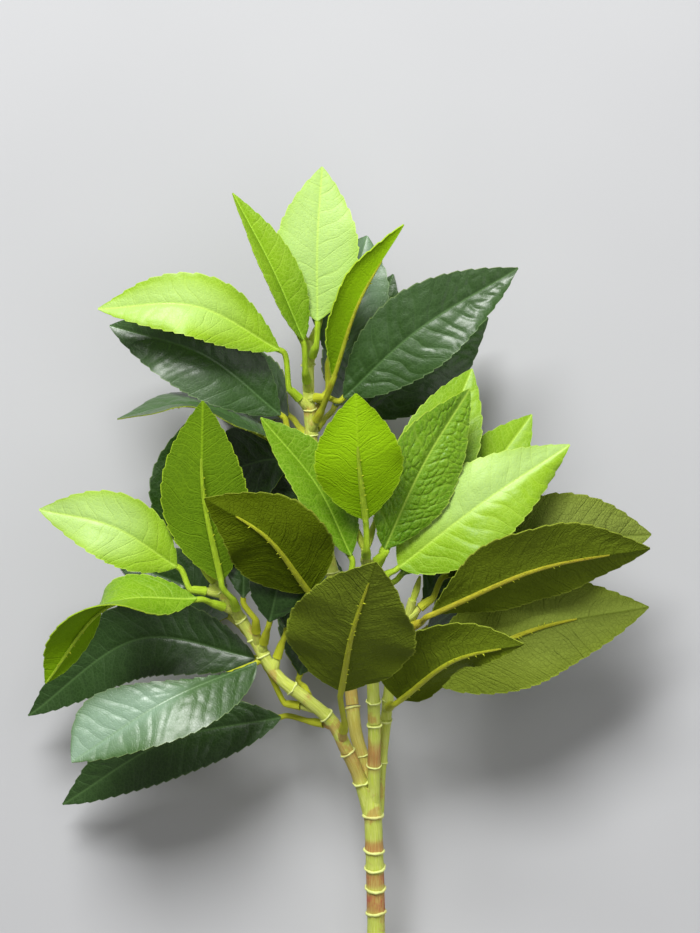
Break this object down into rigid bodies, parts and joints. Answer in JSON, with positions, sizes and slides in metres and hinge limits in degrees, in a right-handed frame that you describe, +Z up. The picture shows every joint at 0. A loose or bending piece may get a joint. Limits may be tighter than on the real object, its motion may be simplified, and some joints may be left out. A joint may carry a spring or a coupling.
{
  "type": "artificial bay leaf branch",
  "caption": "Artificial bay branch lying on its back leaves: a ringed moulded stem forks into sprays of toothed green leaves, pale at the tips and dark below.",
  "frame": {"origin": "middle of the footprint, on the table that the branch lies on", "axes": "+Y from the cut end of the stem towards the leafy head, +Z up from the table, out of the front side"},
  "size_m": [0.2696, 0.422, 0.1484],
  "materials": {
    "leaf_young": "embossed coated leaf, satin",
    "leaf_old": "embossed coated leaf, soft gloss",
    "stem": "moulded, fine lengthwise streaks",
    "wire": "drawn wire"
  },
  "bodies": {
    "root": {"leaf_front_01": "leaf_young", "leaf_front_02": "leaf_young", "leaf_front_03": "leaf_young", "leaf_front_04": "leaf_young", "leaf_front_05": "leaf_old", "leaf_front_06": "leaf_old", "leaf_front_07": "leaf_young", "leaf_front_08": "leaf_young", "leaf_left_01": "leaf_young", "leaf_left_02": "leaf_young", "leaf_left_03": "leaf_young", "leaf_left_04": "leaf_old", "leaf_left_05": "leaf_old", "leaf_left_06": "leaf_old", "leaf_left_07": "leaf_old", "leaf_left_08": "leaf_old", "leaf_left_09": "leaf_old", "leaf_left_10": "leaf_old", "leaf_left_11": "leaf_old", "leaf_left_12": "leaf_old", "leaf_right_01": "leaf_old", "leaf_right_02": "leaf_old", "leaf_right_03": "leaf_old", "leaf_right_04": "leaf_old", "leaf_right_05": "leaf_old", "leaf_right_06": "leaf_old", "leaf_top_01": "leaf_young", "leaf_top_02": "leaf_young", "leaf_top_03": "leaf_young", "leaf_top_04": "leaf_young", "leaf_top_05": "leaf_old", "leaf_top_06": "leaf_old", "leaf_top_07": "leaf_old", "leaf_top_08": "leaf_old", "leaf_top_09": "leaf_old", "leaf_top_10": "leaf_old", "leaf_top_11": "leaf_old", "leaf_top_12": "leaf_old", "leaf_top_13": "leaf_old", "spray_front": "stem", "spray_left": "stem", "spray_right": "stem", "spray_top": "stem", "stem_main": "stem", "stem_wire": "wire"}
  },
  "joints": []
}
